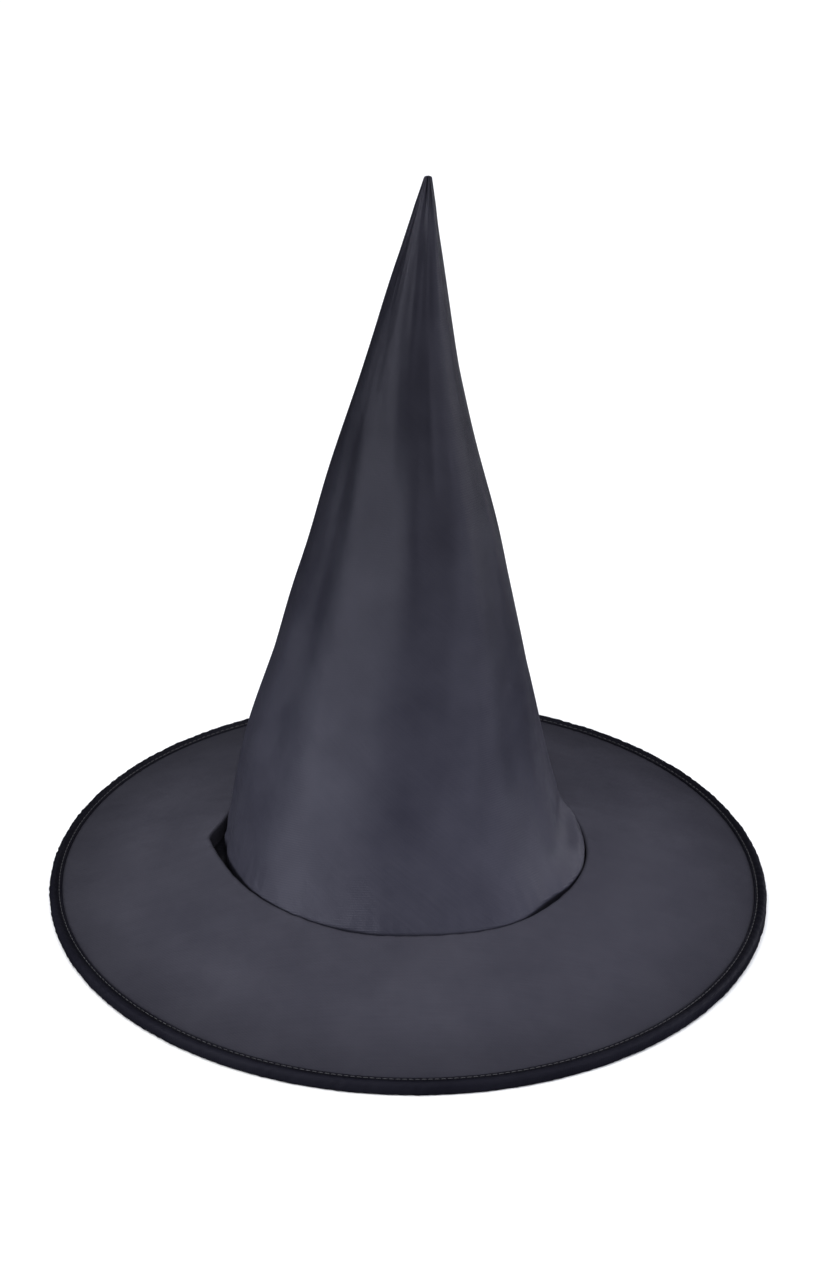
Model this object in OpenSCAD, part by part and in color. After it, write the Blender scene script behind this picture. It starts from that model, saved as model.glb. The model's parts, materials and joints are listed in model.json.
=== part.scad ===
// Pointed cloth hat with a wide, hooped brim, in millimetres.
// The hat stands on its rim: the origin is the centre of the rim's circle, on the table, and +Z is up.
// The crown is one cone of cloth. It is cut into three sections at two bends, because a soft crown
// flops over there, and each cut is a sphere centred on its bend, so that the sections turn freely.

/* [Brim] */
// Outer diameter of the brim, over its binding
brim_d = 380; // [360:5:400]
// Height at which the crown meets the top of the brim
seam_h = 35.5; // [30:0.5:40]
// Radius of the hole in the brim
brim_hole_r = 95.6; // [95.4:0.1:96]
// How far the crown sits to the left of the brim's centre
crown_x = -5.5; // [-8:0.5:0]

/* [Rim] */
// Width of the rolled binding, across the rim
binding_w = 5; // [4.8:0.1:5.4]
// Height of the rolled binding
binding_h = 8; // [7.6:0.1:8.6]
// Thickness of the binding's cloth
binding_t = 0.6; // [0.5:0.05:0.7]
// Diameter of the spring steel hoop inside the binding
hoop_d = 2.2; // [1.6:0.1:2.4]
// Length of the sleeve that joins the hoop's ends
sleeve_l = 18; // [12:1:24]

/* [Crown] */
// Height of the crown's tip above the table
tip_h = 406.5; // [400:0.5:410]
// Radius lost for each millimetre of height
cone_slope = 0.2385; // [0.237:0.0005:0.24]
// Radius of the blunt tip
tip_r = 1.2; // [1:0.1:1.6]
// Outer radius of the crown's foot, where it is sewn to the brim
foot_r = 98; // [97.6:0.1:99]
// Height at which the foot starts to flare
flare_h = 51; // [48:1:56]

/* [Cloth and stiffener] */
// Thickness of the outer cloth
cloth_t = 0.5; // [0.4:0.05:0.6]
// Thickness of the stiffener under it
stiffener_t = 1.2; // [1:0.1:1.3]
// Clearance between plies
ply_gap = 0.15; // [0.1:0.01:0.2]
// Width of the back seam's turned-in edges
seam_w = 12; // [8:1:16]
// Thickness of those edges
seam_t = 0.8; // [0.6:0.1:1]

/* [Bends] */
// Height of the crown's lower bend
crown_bend_h = 180; // [170:5:190]
// Radius of the sphere that cuts the crown at its lower bend
crown_bend_r = 70; // [68:1:72]
// Height of the tip's bend
tip_bend_h = 300; // [295:5:305]
// Radius of the sphere that cuts the crown at the tip's bend
tip_bend_r = 32; // [31:0.5:33]
// Clearance across each cut
bend_gap = 0.5; // [0.3:0.1:1]
// Lean of the middle section to the right
middle_lean = 1.5; // [0:0.1:3]
// Further lean of the tip section
tip_lean = 2.2; // [0:0.1:4]

/* [Head opening] */
// Inner radius of the sweatband, for a head of 58 cm
sweatband_r = 92.3; // [92:0.1:92.5]
// Width of the sweatband's ribbon
sweatband_h = 14; // [12:1:16]
// Thickness of the ribbon
sweatband_t = 0.8; // [0.6:0.1:0.9]
// Depth of the turned-down edges behind the sweatband
allowance_h = 10; // [8:1:11]
// Diameter of the sewing thread
thread_d = 0.4; // [0.3:0.05:0.45]

/* [Label] */
// Width of the blank care label
label_w = 25; // [20:1:30]
// Length of the care label that stands above the sweatband
label_l = 32; // [20:1:36]
// Thickness of the label
label_t = 0.3; // [0.2:0.05:0.4]

/* [Hidden] */
$fn = 96;
cloth_colour = [0.11, 0.11, 0.14];
rim_colour = [0.06, 0.06, 0.08];
stiffener_colour = [0.2, 0.2, 0.22];
thread_colour = [0.09, 0.09, 0.11];
steel_colour = [0.55, 0.56, 0.58];
label_colour = [0.9, 0.9, 0.88];

big = 1000; // larger than the hat, for cutting tools

// Crown, as seen from its own axis
apex_h = tip_h + tip_r / cone_slope;           // where the cone would come to a point
stiffener_in = cloth_t + ply_gap;              // each ply's distance inside the crown's outer face
seam_in = stiffener_in + stiffener_t + ply_gap;
label_in = seam_in + seam_t + ply_gap;
stiffener_end_h = tip_h - 15;                  // the stiffener stops short of the tip
seam_end_h = tip_h - 40;
foot_trim = 5;                                 // how far the foot runs on before the brim trims it

// Brim, as plies down from its top face
rim_r = brim_d / 2 - binding_w / 2;            // centre line of the binding
ply_end_r = brim_d / 2 - 4.15;                 // the plies end inside the binding, clear of the hoop's sleeve
ply_end_h = 5.75;                              // height of the brim's top face there
brim_slope = (seam_h - ply_end_h) / (ply_end_r - foot_r);
stiffener_drop = cloth_t + ply_gap;
under_drop = stiffener_drop + stiffener_t + ply_gap;
brim_t = under_drop + cloth_t;

// Rim
arc_steps = 10;
roll_r = binding_w / 2;
roll_flat = 0.15;                              // how much the roll is flattened where it rests
hoop_r = brim_d / 2 - 2.35;
hoop_z = 4;
hoop_gap_deg = 0.5;
sleeve_bore_r = hoop_d / 2 + 0.05;
sleeve_r = 1.6;
slot_play = 0.3;                               // room for the plies in the binding's mouth

// Head opening
sweatband_top = seam_h + 1;
allowance_t = 1.2;
allowance_gap = 0.3;
allowance_r = sweatband_r + sweatband_t + allowance_gap;
allowance_top = seam_h + 0.3;
label_x = 16;                                  // the label stands beside the back seam

// Radius of the cone at a height
function cone_r(h) = cone_slope * (apex_h - h);

// Height of the brim's top face at a radius
function brim_top_h(r) = ply_end_h + brim_slope * (ply_end_r - r);

// Radius of the crown's flared foot at a height
function foot_r_at(h) = foot_r + (foot_r - cone_r(flare_h)) / (flare_h - seam_h) * (seam_h - h);

// Points of an arc, from one angle to another
function arc(x, y, r, from, to) =
    [for (i = [0:arc_steps]) let (a = from + (to - from) * i / arc_steps) [x + r * cos(a), y + r * sin(a)]];

// One ply of the crown, seen in section to the right of its axis: it ends at end_h, and its faces lie
// in and in + t inside the crown's outer face. Its foot runs on below the brim's top face.
module crown_outline(in, t, end_h) {
    low = seam_h - foot_trim;
    out = in + t;
    difference() {
        polygon([
            [foot_r_at(low) - in, low],
            [cone_r(flare_h) - in, flare_h],
            [cone_r(end_h) - in, end_h],
            [cone_r(end_h) - out, end_h],
            [cone_r(flare_h) - out, flare_h],
            [foot_r_at(low) - out, low]
        ]);
        translate([-big, 0])
            square([big, big]);
    }
}

// Trims the crown's foot where it stands on the brim
module above_brim() {
    top = ply_gap + 0.1;
    difference() {
        children();
        rotate_extrude()
            polygon([
                [0, 0],
                [0, brim_top_h(0) + top],
                [ply_end_r, ply_end_h + top],
                [ply_end_r, 0]
            ]);
    }
}

// Everything above a bend, with the ball around it: what turns with the upper section
module above_bend(bend_h, ball_r) {
    union() {
        translate([0, bend_h])
            circle(ball_r);
        translate([0, bend_h + 1])
            square([big, big]);
    }
}

// The three sections of a crown outline
module lower_part() {
    difference() {
        children();
        above_bend(crown_bend_h, crown_bend_r + bend_gap);
    }
}

module middle_part() {
    difference() {
        intersection() {
            children();
            above_bend(crown_bend_h, crown_bend_r);
        }
        above_bend(tip_bend_h, tip_bend_r + bend_gap);
    }
}

module tip_part() {
    intersection() {
        children();
        above_bend(tip_bend_h, tip_bend_r);
    }
}

// Places of the three sections: each leans about the bend below it
module place_lower() {
    translate([crown_x, 0, 0])
        children();
}

module place_middle() {
    translate([crown_x, 0, crown_bend_h])
        rotate([0, middle_lean, 0])
            translate([0, 0, -crown_bend_h])
                children();
}

module place_tip() {
    place_middle()
        translate([0, 0, tip_bend_h])
            rotate([0, tip_lean, 0])
                translate([0, 0, -tip_bend_h])
                    children();
}

// The three sections of a ply, turned from its outline about the crown's axis
module lower_section() {
    rotate_extrude()
        lower_part()
            children();
}

module middle_section() {
    rotate_extrude()
        middle_part()
            children();
}

module tip_section() {
    rotate_extrude()
        tip_part()
            children();
}

// A strip at the back of the crown, w wide and centred on x
module back_strip(x, w, low_h, high_h) {
    translate([x - w / 2, 0, low_h])
        cube([w, big, high_h - low_h]);
}

// Outer cloth, closed at the blunt tip
module crown_cloth_outline() {
    crown_outline(0, cloth_t, tip_h);
    translate([0, tip_h - cloth_t])
        square([tip_r, cloth_t]);
}

module crown_cloth_lower() {
    color(cloth_colour)
        above_brim()
            place_lower()
                lower_section()
                    crown_cloth_outline();
}

module crown_cloth_middle() {
    color(cloth_colour)
        place_middle()
            middle_section()
                crown_cloth_outline();
}

module crown_cloth_tip() {
    color(cloth_colour)
        place_tip()
            tip_section()
                crown_cloth_outline();
}

// Nonwoven stiffener, fused to the inside of the cloth
module stiffener_outline() {
    crown_outline(stiffener_in, stiffener_t, stiffener_end_h);
}

module crown_stiffener_lower() {
    color(stiffener_colour)
        above_brim()
            place_lower()
                lower_section()
                    stiffener_outline();
}

module crown_stiffener_middle() {
    color(stiffener_colour)
        place_middle()
            middle_section()
                stiffener_outline();
}

module crown_stiffener_tip() {
    color(stiffener_colour)
        place_tip()
            tip_section()
                stiffener_outline();
}

// Turned-in edges of the crown's one seam, pressed flat at the back
module seam_outline() {
    crown_outline(seam_in, seam_t, seam_end_h);
}

module crown_seam_lower() {
    color(cloth_colour)
        place_lower()
            intersection() {
                lower_section()
                    seam_outline();
                back_strip(0, seam_w, sweatband_top + 1, tip_h);
            }
}

module crown_seam_middle() {
    color(cloth_colour)
        place_middle()
            intersection() {
                middle_section()
                    seam_outline();
                back_strip(0, seam_w, 0, tip_h);
            }
}

module crown_seam_tip() {
    color(cloth_colour)
        place_tip()
            intersection() {
                tip_section()
                    seam_outline();
                back_strip(0, seam_w, 0, tip_h);
            }
}

// One ply of the brim: its top face lies drop below the brim's top face
module brim_ply(drop, t) {
    inner_r = brim_hole_r - 12;
    difference() {
        rotate_extrude()
            polygon([
                [inner_r, brim_top_h(inner_r) - drop],
                [ply_end_r, ply_end_h - drop],
                [ply_end_r, ply_end_h - drop - t],
                [inner_r, brim_top_h(inner_r) - drop - t]
            ]);
        translate([crown_x, 0, 0])
            cylinder(r = brim_hole_r, h = tip_h);
    }
}

module brim_top_cloth() {
    color(cloth_colour)
        brim_ply(0, cloth_t);
}

module brim_stiffener() {
    color(stiffener_colour)
        brim_ply(stiffener_drop, stiffener_t);
}

module brim_under_cloth() {
    color(cloth_colour)
        brim_ply(under_drop, cloth_t);
}

// Bias binding, rolled over the brim's edge and the hoop, with its mouth towards the crown: an upright
// oval in section, flattened a little where it rests
module rim_binding() {
    low = roll_r - roll_flat;
    high = binding_h - roll_r;
    inner_r = roll_r - binding_t;
    flat = asin(low / roll_r);
    mouth_low = ply_end_h - brim_t - slot_play;
    mouth_high = brim_top_h(rim_r - roll_r) + slot_play;
    outer_lip = 180 - asin((mouth_high - high) / roll_r);
    inner_lip = 180 - asin((mouth_high - high) / inner_r);
    color(rim_colour)
        rotate_extrude()
            polygon(concat(
                [[rim_r - roll_r, mouth_low]],
                arc(rim_r, low, roll_r, 180, 180 + flat),
                arc(rim_r, low, roll_r, 360 - flat, 360),
                arc(rim_r, high, roll_r, 0, outer_lip),
                arc(rim_r, high, inner_r, inner_lip, 0),
                arc(rim_r, low, inner_r, 360, 180),
                [[rim_r - inner_r, mouth_low]]
            ));
}

// Spring steel hoop that holds the brim open; its two ends meet at the back
module rim_hoop() {
    color(steel_colour)
        rotate([0, 0, 90 + hoop_gap_deg / 2])
            rotate_extrude(angle = 360 - hoop_gap_deg)
                translate([hoop_r, hoop_z])
                    circle(hoop_d / 2);
}

// Crimped sleeve over the hoop's ends
module hoop_sleeve() {
    sleeve_deg = sleeve_l / hoop_r * 180 / PI;
    color(steel_colour)
        rotate([0, 0, 90 - sleeve_deg / 2])
            rotate_extrude(angle = sleeve_deg)
                translate([hoop_r, hoop_z])
                    difference() {
                        circle(sleeve_r);
                        circle(sleeve_bore_r);
                    }
}

// A line of stitching that runs right round, as one closed ring
module thread_ring(r, h) {
    color(thread_colour)
        rotate_extrude()
            translate([r, h])
                circle(thread_d / 2);
}

// Topstitching in the groove between the brim and its binding
module binding_thread() {
    groove_r = rim_r - roll_r - 0.2;
    thread_ring(groove_r, brim_top_h(groove_r) + 0.35);
}

// Edges of the crown and the brim, sewn together and turned down behind the sweatband
module seam_allowance() {
    color(cloth_colour)
        translate([crown_x, 0, 0])
            rotate_extrude()
                translate([allowance_r, allowance_top - allowance_h])
                    square([allowance_t, allowance_h]);
}

// The seam that joins the crown to the brim
module crown_join_thread() {
    translate([crown_x, 0, 0])
        thread_ring(allowance_r + allowance_t + 0.3, seam_h - 3.5);
}

// Ribbon that lines the head opening
module sweatband() {
    color(rim_colour)
        translate([crown_x, 0, 0])
            rotate_extrude()
                translate([sweatband_r, sweatband_top - sweatband_h])
                    square([sweatband_t, sweatband_h]);
}

// Overstitching along the sweatband's top edge
module sweatband_thread() {
    translate([crown_x, 0, 0])
        thread_ring(sweatband_r + sweatband_t / 2, sweatband_top + 0.3);
}

// Blank care label, caught in the sweatband's seam beside the back seam
module care_label() {
    label_low = sweatband_top + 1.5;
    color(label_colour)
        place_lower()
            intersection() {
                lower_section()
                    crown_outline(label_in, label_t, tip_bend_h);
                back_strip(label_x + label_w / 2, label_w, label_low, label_low + label_l);
            }
}

crown_cloth_lower();
crown_cloth_middle();
crown_cloth_tip();
crown_stiffener_lower();
crown_stiffener_middle();
crown_stiffener_tip();
crown_seam_lower();
crown_seam_middle();
crown_seam_tip();
brim_top_cloth();
brim_stiffener();
brim_under_cloth();
rim_hoop();
hoop_sleeve();
rim_binding();
binding_thread();
seam_allowance();
crown_join_thread();
sweatband();
sweatband_thread();
care_label();
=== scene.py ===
"""Looks of a pointed cloth hat with a wide, hooped brim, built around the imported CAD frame.

Shapes are worked out in millimetres and made into meshes in metres. Angles are in degrees about the
vertical: 0 is +X, 90 is the back and -90 is the front. A face is a grid of points, row by row, whose
columns run round the hat.
"""

import json
import math

import bpy
import numpy as np
from mathutils import Matrix, Vector


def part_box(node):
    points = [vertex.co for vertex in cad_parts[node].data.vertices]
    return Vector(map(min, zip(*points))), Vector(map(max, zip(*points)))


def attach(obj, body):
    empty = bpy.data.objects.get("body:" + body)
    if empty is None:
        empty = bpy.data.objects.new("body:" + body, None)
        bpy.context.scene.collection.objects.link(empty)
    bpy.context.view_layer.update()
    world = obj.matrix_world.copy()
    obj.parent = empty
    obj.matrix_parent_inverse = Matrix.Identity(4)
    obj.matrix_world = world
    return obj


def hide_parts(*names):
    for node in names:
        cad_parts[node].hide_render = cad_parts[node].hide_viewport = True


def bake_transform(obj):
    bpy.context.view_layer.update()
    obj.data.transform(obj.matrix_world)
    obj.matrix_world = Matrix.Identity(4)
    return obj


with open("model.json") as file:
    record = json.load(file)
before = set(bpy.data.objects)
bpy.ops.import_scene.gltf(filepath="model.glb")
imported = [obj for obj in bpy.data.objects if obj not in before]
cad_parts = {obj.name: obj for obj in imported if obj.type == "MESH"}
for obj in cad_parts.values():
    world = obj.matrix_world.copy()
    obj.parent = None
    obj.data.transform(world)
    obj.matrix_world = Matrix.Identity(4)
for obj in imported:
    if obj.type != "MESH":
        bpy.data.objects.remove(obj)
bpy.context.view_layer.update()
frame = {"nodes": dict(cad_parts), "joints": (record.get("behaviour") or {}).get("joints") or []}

MM = 0.001


# --- Sizes, from the frame ---

def box_mm(node):
    """Lowest and highest corner of a CAD node, in millimetres."""
    low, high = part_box(node)
    return np.array(low) / MM, np.array(high) / MM


def half_width(node):
    """Outer radius of a round CAD node."""
    low, high = box_mm(node)
    return (high[0] - low[0]) / 2


def top_of(node):
    """Height of a CAD node's highest point."""
    return box_mm(node)[1][2]


# Thicknesses and widths, as in the CAD model
CLOTH_T = 0.5
STIFFENER_T = 1.2
PLY_GAP = 0.15
SEAM_T = 0.8
SEAM_W = 12
RIBBON_T = 0.8
LABEL_T = 0.3
BINDING_T = 0.6
BINDING_W = 5
THREAD_R = 0.2

# Depths inside the outer face: the stiffener, and the third ply, which is the brim's under cloth or
# the crown's seam edges
STIFFENER_IN = CLOTH_T + PLY_GAP
THIRD_PLY_IN = CLOTH_T + STIFFENER_T + 2 * PLY_GAP

bends = {joint["name"]: np.array(joint["pos_m"]) / MM for joint in frame["joints"]}
crown_bend = bends["crown_bend"]
tip_bend = bends["tip_bend"]
band_low, band_high = box_mm("sweatband")
label_low, label_high = box_mm("care_label")

RIM_R = half_width("rim_binding")
RIM_H = top_of("rim_binding")
BINDING_R = RIM_R - BINDING_W / 2
PLY_END_R = half_width("brim_top_cloth")
PLY_END_H = box_mm("brim_under_cloth")[0][2] + THIRD_PLY_IN + CLOTH_T
CROWN_X = (band_low[0] + band_high[0]) / 2
BAND_R = half_width("sweatband")
BAND_W = band_high[2] - band_low[2]
TIP_H = top_of("crown_cloth_tip")
STIFFENER_END_H = top_of("crown_stiffener_tip")
SEAM_END_H = top_of("crown_seam_tip")

# The crown is one cone of cloth, cut here into two pieces because a piece can bend at one joint only
SPLIT_H = (crown_bend[2] + tip_bend[2]) / 2 + 10
# Angle of the back, where the crown's seam is
BACK = 90


# --- Small maths ---

def bell(x, centre, width):
    """A smooth hump, 1 at its centre."""
    return np.exp(-(((x - centre) / width) ** 2))


def turn(angle, centre):
    """Angle from a centre, from -180 to 180 degrees."""
    return (angle - centre + 180) % 360 - 180


def round_bell(angle, centre, width):
    """A smooth hump round a ring."""
    return bell(turn(angle, centre), 0, width)


def rise(x, low, high):
    """0 up to low, 1 from high on, and smooth between them."""
    share = np.clip((x - low) / (high - low), 0, 1)
    return share * share * (3 - 2 * share)


def smooth_curve(points, x):
    """A smooth curve through (x, y) points, level beyond its ends."""
    xs, ys = np.array(points, float).T
    slopes = np.gradient(ys, xs)
    i = np.clip(np.searchsorted(xs, x) - 1, 0, len(xs) - 2)
    width = xs[i + 1] - xs[i]
    t = np.clip((x - xs[i]) / width, 0, 1)
    start = (1 + 2 * t) * (1 - t) ** 2 * ys[i] + t * (1 - t) ** 2 * width * slopes[i]
    end = t * t * (3 - 2 * t) * ys[i + 1] + t * t * (t - 1) * width * slopes[i + 1]
    return start + end


def smooth_ring(points, angle):
    """A smooth closed curve through (angle, value) points."""
    around = [(a + full, value) for full in (-360, 0, 360) for a, value in points]
    return smooth_curve(around, turn(angle, 0))


def ripple(angle, counts, seed):
    """Uneven waves round a ring, from several whole numbers of waves."""
    draw = np.random.default_rng(seed)
    total = 0
    for count in counts:
        strength, start = draw.uniform(0.4, 1), draw.uniform(0, 360)
        total = total + strength * np.sin(np.radians(count * angle + start))
    return total / math.sqrt(len(counts))


def drift(angle, along, counts, lengths, seed):
    """Slow uneven waves over a surface, both round the ring and along it."""
    draw = np.random.default_rng(seed)
    total = 0
    for count in counts:
        length = draw.uniform(*lengths)
        start, slant = draw.uniform(0, 360), draw.uniform(-40, 40)
        along_wave = np.sin(2 * np.pi * along / length + draw.uniform(0, 6))
        total = total + np.sin(np.radians(count * angle + start + slant * along / length)) * along_wave
    return total / math.sqrt(len(counts))


def graded(start, stop, first, last):
    """Values from start to stop whose steps go from about first to about last."""
    count = max(2, round(2 * abs(stop - start) / (first + last)))
    steps = np.cumsum(np.linspace(first, last, count))
    return start + (stop - start) * np.concatenate([[0], steps / steps[-1]])


def columns_round(count, near_seam=()):
    """Angles round the hat from its back, with extra ones beside the back seam."""
    even = np.arange(count) * 360 / count
    extra = [side * step % 360 for step in near_seam for side in (-1, 1)]
    return BACK + np.unique(np.concatenate([even, extra]))


# --- Meshes ---

def closed(grid):
    """A grid that runs round the hat, with its first column again after its last."""
    return np.concatenate([grid, grid[:, :1]], axis=1)


def unit(vectors):
    """Rows of vectors, each made 1 long."""
    return vectors / np.linalg.norm(vectors, axis=1, keepdims=True)


def quads_of(index):
    """The quads of a grid of point numbers, facing out when columns run anticlockwise and rows up."""
    corners = [index[:-1, :-1], index[:-1, 1:], index[1:, 1:], index[1:, :-1]]
    return np.stack(corners, axis=-1).reshape(-1, 4)


def sides_of(front, behind, ring):
    """The quads of a thin sheet: its two faces and the strips along its edges."""
    grids = [front, behind[:, ::-1], np.stack([behind[0], front[0]]), np.stack([front[-1], behind[-1]])]
    if not ring:
        grids.append(np.stack([behind[:, 0], front[:, 0]], axis=1))
        grids.append(np.stack([front[:, -1], behind[:, -1]], axis=1))
    return np.concatenate([quads_of(grid) for grid in grids])


# Angle between two faces from which the edge between them is a cut edge
SHARP_DEG = 55


def new_object(name, data):
    """An object in the scene that shows a mesh, a light or a camera."""
    thing = bpy.data.objects.new(name, data)
    bpy.context.scene.collection.objects.link(thing)
    return thing


def mesh_piece(name, points, quads, flat=None):
    """An object from points in millimetres, with smooth faces and sharp cut edges. flat is the place of
    each face's corners on the cut cloth."""
    mesh = bpy.data.meshes.new(name)
    mesh.from_pydata((points * MM).tolist(), [], quads.tolist())
    if flat is not None:
        layer = mesh.uv_layers.new(name="Flat")
        layer.data.foreach_set("uv", (flat * MM).astype(np.float32).ravel())
    mesh.update()
    mesh.shade_smooth()
    mesh.set_sharp_from_angle(angle=math.radians(SHARP_DEG))
    return new_object(name, mesh)


def shell(name, front, behind, flat, ring=True):
    """A thin closed sheet between two faces. flat holds each point's place on the cut cloth, and for a
    ring it has one more column than the faces."""
    rows, columns = front.shape[:2]
    index = np.arange(rows * columns).reshape(rows, columns)
    flat_index = np.arange(flat.shape[0] * flat.shape[1]).reshape(flat.shape[:2])
    if ring:
        index = closed(index)
    quads = sides_of(index, index + rows * columns, ring)
    flat_quads = sides_of(flat_index, flat_index, ring)
    points = np.concatenate([front.reshape(-1, 3), behind.reshape(-1, 3)])
    return mesh_piece(name, points, quads, flat.reshape(-1, 2)[flat_quads].reshape(-1, 2))


def polar(radius, angle, height, centre_x=0):
    """Points about an upright axis."""
    x = centre_x + radius * np.cos(np.radians(angle))
    y = radius * np.sin(np.radians(angle))
    return np.stack(np.broadcast_arrays(x, y, height), axis=-1)


def run_along(line):
    """Length from the start of a line to each of its points."""
    return np.concatenate([[0], np.cumsum(np.linalg.norm(np.diff(line, axis=0), axis=1))])


def strip(name, faces, ring=True):
    """A thin sheet between two faces that is cut as a straight strip, with its length round the hat."""
    rows = closed(faces[0]) if ring else faces[0]
    flat = np.meshgrid(run_along(rows[len(rows) // 2]), run_along(rows[:, 0]))
    return shell(name, *faces, np.stack(flat, axis=-1), ring)


# Number of sides of a stitch's thread
THREAD_SIDES = 6


def stitches(name, starts, ends, up):
    """Short stitches of thread as one mesh. Each one rises out of the cloth and dives back in."""
    places = np.array([0, 0.12, 0.5, 0.88, 1])
    lifts = np.array([-0.5, 0.45, 0.75, 0.45, -0.5]) * THREAD_R
    girths = np.array([0.55, 1, 1.1, 1, 0.55]) * THREAD_R
    along = ends - starts
    across = unit(np.cross(along, up))
    centres = starts[:, None] + places[None, :, None] * along[:, None]
    centres = centres + lifts[None, :, None] * up[:, None]
    turns = np.arange(THREAD_SIDES) * 2 * np.pi / THREAD_SIDES
    ring = np.cos(turns)[:, None] * up[:, None] + np.sin(turns)[:, None] * across[:, None]
    points = centres[:, :, None] + girths[None, :, None, None] * ring[:, None]
    one_stitch = len(places) * THREAD_SIDES
    index = np.arange(one_stitch).reshape(len(places), THREAD_SIDES)
    quads = quads_of(closed(index)[:, ::-1])
    caps = np.stack([index[0], index[-1, ::-1]])
    faces = []
    for first in np.arange(len(starts)) * one_stitch:
        faces += (quads + first).tolist() + (caps + first).tolist()
    mesh = bpy.data.meshes.new(name)
    mesh.from_pydata((points.reshape(-1, 3) * MM).tolist(), [], faces)
    mesh.shade_smooth()
    return new_object(name, mesh)


def ring_stitches(name, line, pitch, share, slant, up):
    """A row of stitches along a closed line, a pitch apart, each over a share of it. line gives points
    for angles, slant moves each stitch's end off the line, and up gives the way out of the cloth."""
    fine = line(BACK + np.linspace(0, 360, 1441))
    count = round(run_along(fine)[-1] / pitch)
    starts = BACK + np.arange(count) * 360 / count
    ends = starts + share * 360 / count
    return stitches(name, line(starts), line(ends) + slant, up(starts))


# --- Camera, lights and floor ---

CAMERA_DISTANCE = 2000
CAMERA_HEIGHT_DEG = 28.83
CAMERA_ROLL_DEG = 0.85
LOOK_AT = (-0.5, 0, 152.3)
LENS = 110.05
SENSOR_WIDTH = 36

WHITE = (1, 1, 1)
COOL_WHITE = (0.93, 0.92, 1.0)
SKY = (0.93, 0.95, 1.0)
SKY_STRENGTH = 0.5
FLOOR_R = 9000


def make_camera():
    """The camera in front of the hat, looking down on it."""
    data = bpy.data.cameras.new("camera")
    data.lens = LENS
    data.sensor_width = SENSOR_WIDTH
    tilt = math.radians(CAMERA_HEIGHT_DEG)
    back = Vector((0, -math.cos(tilt), math.sin(tilt)))
    right = Vector((1, 0, 0))
    up = back.cross(right)
    roll = math.radians(CAMERA_ROLL_DEG)
    rolled_right = right * math.cos(roll) + up * math.sin(roll)
    rolled_up = up * math.cos(roll) - right * math.sin(roll)
    place = (Vector(LOOK_AT) + back * CAMERA_DISTANCE) * MM
    turned = Matrix((rolled_right, rolled_up, back)).transposed().to_4x4()
    camera = new_object("camera", data)
    camera.matrix_world = Matrix.Translation(place) @ turned
    bpy.context.scene.camera = camera


def softbox(name, azimuth, elevation, distance, size, watts, colour=WHITE, target=(0, 0, 0.15)):
    """A large soft light that faces a target. Azimuth 0 is the front, and it grows to the right.
    The distance, the size and the target are in metres."""
    data = bpy.data.lights.new(name, "AREA")
    data.shape = "RECTANGLE"
    data.size, data.size_y = size
    data.energy = watts
    data.color = colour
    light = new_object(name, data)
    a, e = math.radians(azimuth), math.radians(elevation)
    away = Vector((math.sin(a) * math.cos(e), -math.cos(a) * math.cos(e), math.sin(e)))
    light.location = Vector(target) + away * distance
    light.rotation_euler = away.to_track_quat("Z", "Y").to_euler()
    light.visible_camera = False


def make_lights():
    """Soft studio light: a key from the left, a fill and a rim light from the right, a wide one from
    above and one on the floor behind the hat."""
    softbox("key", -56, 9, 2.2, (1.1, 0.9), 62)
    softbox("fill", 66, 9, 2.2, (1.1, 0.9), 42, colour=COOL_WHITE)
    softbox("rim", 126, 5, 2.2, (0.6, 0.7), 14, colour=COOL_WHITE)
    softbox("above", -5, 66, 4.0, (3.2, 2.8), 135)
    softbox("backdrop", 180, 60, 2.0, (2.4, 0.6), 9, target=(0, 1.3, 0))


def make_world():
    """An even pale light from all round. Like the floor, it doesn't show in the cloth's gloss, where
    only the lights do, as in a dark studio."""
    world = bpy.data.worlds.new("studio")
    world.use_nodes = True
    background = world.node_tree.nodes["Background"]
    background.inputs["Color"].default_value = (*SKY, 1)
    background.inputs["Strength"].default_value = SKY_STRENGTH
    bpy.context.scene.world = world
    world.cycles_visibility.glossy = False
    bpy.context.scene.view_settings.view_transform = "Standard"


def make_floor():
    """A wide, round, pale floor that the hat stands on, which doesn't show in the cloth's gloss."""
    angles = columns_round(96)
    radius = graded(0.5, FLOOR_R, 20, 400)[:, None]
    points = polar(radius, angles[None], 0)
    index = np.arange(points[..., 0].size).reshape(points.shape[:2])
    quads = quads_of(closed(index)[::-1])
    floor = mesh_piece("floor", points.reshape(-1, 3), quads)
    floor.data.materials.append(floor_material())
    floor.visible_glossy = False


# --- Materials ---

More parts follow.
